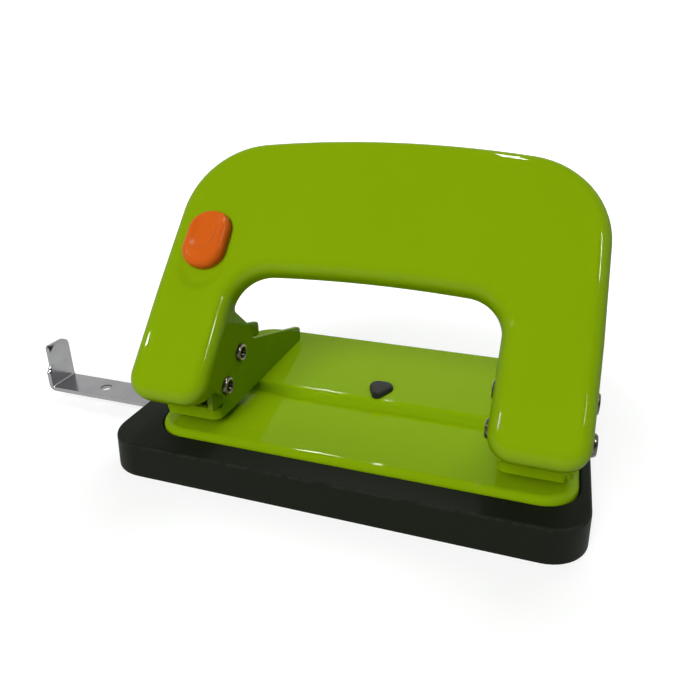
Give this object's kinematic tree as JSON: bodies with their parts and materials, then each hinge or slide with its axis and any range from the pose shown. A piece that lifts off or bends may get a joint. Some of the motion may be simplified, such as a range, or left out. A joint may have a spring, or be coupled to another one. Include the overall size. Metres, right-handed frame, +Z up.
{
  "type": "two-hole punch",
  "caption": "Desk two-hole punch with a leaning U-shaped pressed steel lever, slide lock, two punch units, slip-on chip tray and a pull-out paper guide.",
  "frame": {"origin": "on the resting plane under the tray, midway between the two punch axes", "axes": "+X along the paper edge to the user's right, +Y away from the user, +Z up"},
  "size_m": [0.1483, 0.0716, 0.0734],
  "materials": {
    "green_paint": "gloss",
    "black_plastic": "matte",
    "bare_steel": "satin",
    "zinc_steel": "satin",
    "orange_plastic": "satin"
  },
  "bodies": {
    "tray": {"base_tray": "black_plastic", "guide_keeper": "zinc_steel", "keeper_screws": "bare_steel"},
    "frame": {"base_plate": "green_paint", "centre_marker": "black_plastic", "left_bracket": "green_paint", "right_bracket": "green_paint", "left_hinge_pin": "bare_steel", "right_hinge_pin": "bare_steel", "left_guide_barrel": "bare_steel", "right_guide_barrel": "bare_steel", "left_spring": "bare_steel", "right_spring": "bare_steel"},
    "lever": {"lever": "green_paint", "left_drive_pin": "bare_steel", "right_drive_pin": "bare_steel"},
    "left_punch": {"left_punch": "bare_steel"},
    "right_punch": {"right_punch": "bare_steel"},
    "lock": {"lock_button": "orange_plastic", "lock_tongue": "zinc_steel", "lock_screw": "bare_steel"},
    "guide": {"paper_guide": "zinc_steel", "guide_stop": "bare_steel"}
  },
  "joints": [
    {"name": "tray_lift", "type": "slide", "parent": "tray", "child": "frame", "axis": [0, 0, 1], "range_m": [0, 0.025]},
    {"name": "lever_hinge", "type": "hinge", "parent": "frame", "child": "lever", "pos_m": [0, -0.0085, 0.0216], "axis": [-1, 0, 0], "range_deg": [0, 45], "stiffness_Nm_per_rad": 0.18, "springref_deg": -48.13},
    {"name": "left_punch_slide", "type": "slide", "parent": "frame", "child": "left_punch", "axis": [0, 0, -1], "range_m": [0, 0.00693], "deforming": ["left_spring"]},
    {"name": "right_punch_slide", "type": "slide", "parent": "frame", "child": "right_punch", "axis": [0, 0, -1], "range_m": [0, 0.00693], "deforming": ["right_spring"]},
    {"name": "lock_slide", "type": "slide", "parent": "lever", "child": "lock", "axis": [0, -0.6691, -0.7431], "range_m": [0, 0.0045]},
    {"name": "guide_slide", "type": "slide", "parent": "tray", "child": "guide", "axis": [-1, 0, 0], "range_m": [-0.0335, 0.0535]}
  ],
  "couplings": [
    {"joint": "left_punch_slide", "follows": "lever_hinge", "m_per_rad": 0.0088173},
    {"joint": "right_punch_slide", "follows": "lever_hinge", "m_per_rad": 0.0088173}
  ]
}
